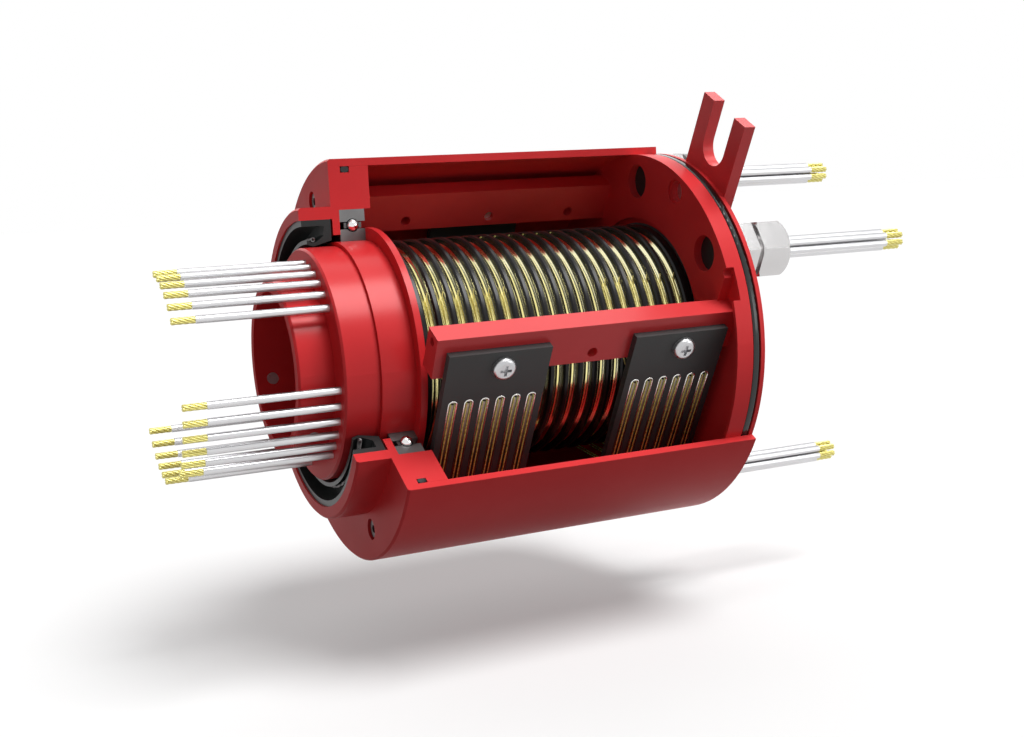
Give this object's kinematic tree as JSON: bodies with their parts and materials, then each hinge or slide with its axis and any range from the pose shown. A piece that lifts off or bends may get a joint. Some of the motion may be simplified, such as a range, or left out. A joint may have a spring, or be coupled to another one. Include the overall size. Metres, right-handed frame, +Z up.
{
  "type": "slip ring",
  "caption": "Through-bore slip ring shown cut open: red housing, gold rings on a black barrel, wire brush blocks, ball bearings, lip seal, torque arm, cable glands and free leads.",
  "frame": {"origin": "on the rotor's axis, in the plane of the front housing's outer face", "axes": "+X along the rotor's axis from the rotor leads to the rear flange, +Y away from the cover's cut-away side, +Z up"},
  "size_m": [0.3076, 0.1569, 0.1802],
  "materials": {
    "red_anodised": "satin red anodised aluminium",
    "screw_steel": "bright zinc-plated steel",
    "race_steel": "ground bearing steel",
    "ball_chrome": "polished chrome steel",
    "cage_steel": "pressed steel",
    "black_rubber": "black nitrile rubber",
    "plate_black": "black glass-fibre laminate",
    "barrel_black": "glossy black moulded insulator",
    "gold_plate": "hard gold plate on brass",
    "strip_silver": "tinned contact strip",
    "gland_nickel": "nickel-plated brass",
    "lead_white": "white lead insulation with bare gold-coloured ends"
  },
  "bodies": {
    "stator": {"front_housing": "red_anodised", "cover_sleeve": "red_anodised", "rear_flange": "red_anodised", "frame_bar_front": "red_anodised", "frame_bar_rear": "red_anodised", "frame_bar_lower": "red_anodised", "housing_screws": "screw_steel", "flange_screws": "screw_steel", "housing_o_ring": "black_rubber", "flange_o_ring": "black_rubber", "shaft_seal": "black_rubber", "seal_spring": "screw_steel", "front_outer_race": "race_steel", "rear_outer_race": "race_steel", "brush_plate_1": "plate_black", "brush_plate_2": "plate_black", "brush_plate_3": "plate_black", "brush_wires_1": "gold_plate", "brush_wires_2": "gold_plate", "brush_wires_3": "gold_plate", "contact_strips": "strip_silver", "block_screws": "screw_steel", "torque_arm": "red_anodised", "torque_arm_screws": "screw_steel", "gland_bodies": "gland_nickel", "gland_nuts": "gland_nickel", "gland_inserts": "black_rubber", "stator_leads": "lead_white"},
    "rotor": {"rotor_hub": "red_anodised", "bore_tube": "red_anodised", "rotor_set_screws": "screw_steel", "front_inner_race": "race_steel", "rear_inner_race": "race_steel", "bearing_circlip": "screw_steel", "ring_barrel": "barrel_black", "slip_ring_01": "gold_plate", "slip_ring_02": "gold_plate", "slip_ring_03": "gold_plate", "slip_ring_04": "gold_plate", "slip_ring_05": "gold_plate", "slip_ring_06": "gold_plate", "slip_ring_07": "gold_plate", "slip_ring_08": "gold_plate", "slip_ring_09": "gold_plate", "slip_ring_10": "gold_plate", "slip_ring_11": "gold_plate", "slip_ring_12": "gold_plate", "slip_ring_13": "gold_plate", "slip_ring_14": "gold_plate", "slip_ring_15": "gold_plate", "slip_ring_16": "gold_plate", "slip_ring_17": "gold_plate", "slip_ring_18": "gold_plate", "rotor_leads": "lead_white"},
    "front_cage": {"front_balls": "ball_chrome", "front_ball_cage": "cage_steel"},
    "rear_cage": {"rear_balls": "ball_chrome", "rear_ball_cage": "cage_steel"}
  },
  "joints": [
    {"name": "rotor_spin", "type": "hinge", "parent": "stator", "child": "rotor", "pos_m": [0, 0, 0], "axis": [1, 0, 0], "continuous": true},
    {"name": "front_cage_spin", "type": "hinge", "parent": "stator", "child": "front_cage", "pos_m": [0.0086, 0, 0], "axis": [1, 0, 0], "continuous": true},
    {"name": "rear_cage_spin", "type": "hinge", "parent": "stator", "child": "rear_cage", "pos_m": [0.144, 0, 0], "axis": [1, 0, 0], "continuous": true}
  ],
  "couplings": [
    {"joint": "front_cage_spin", "follows": "rotor_spin", "ratio": 0.47767},
    {"joint": "rear_cage_spin", "follows": "rotor_spin", "ratio": 0.47059}
  ]
}
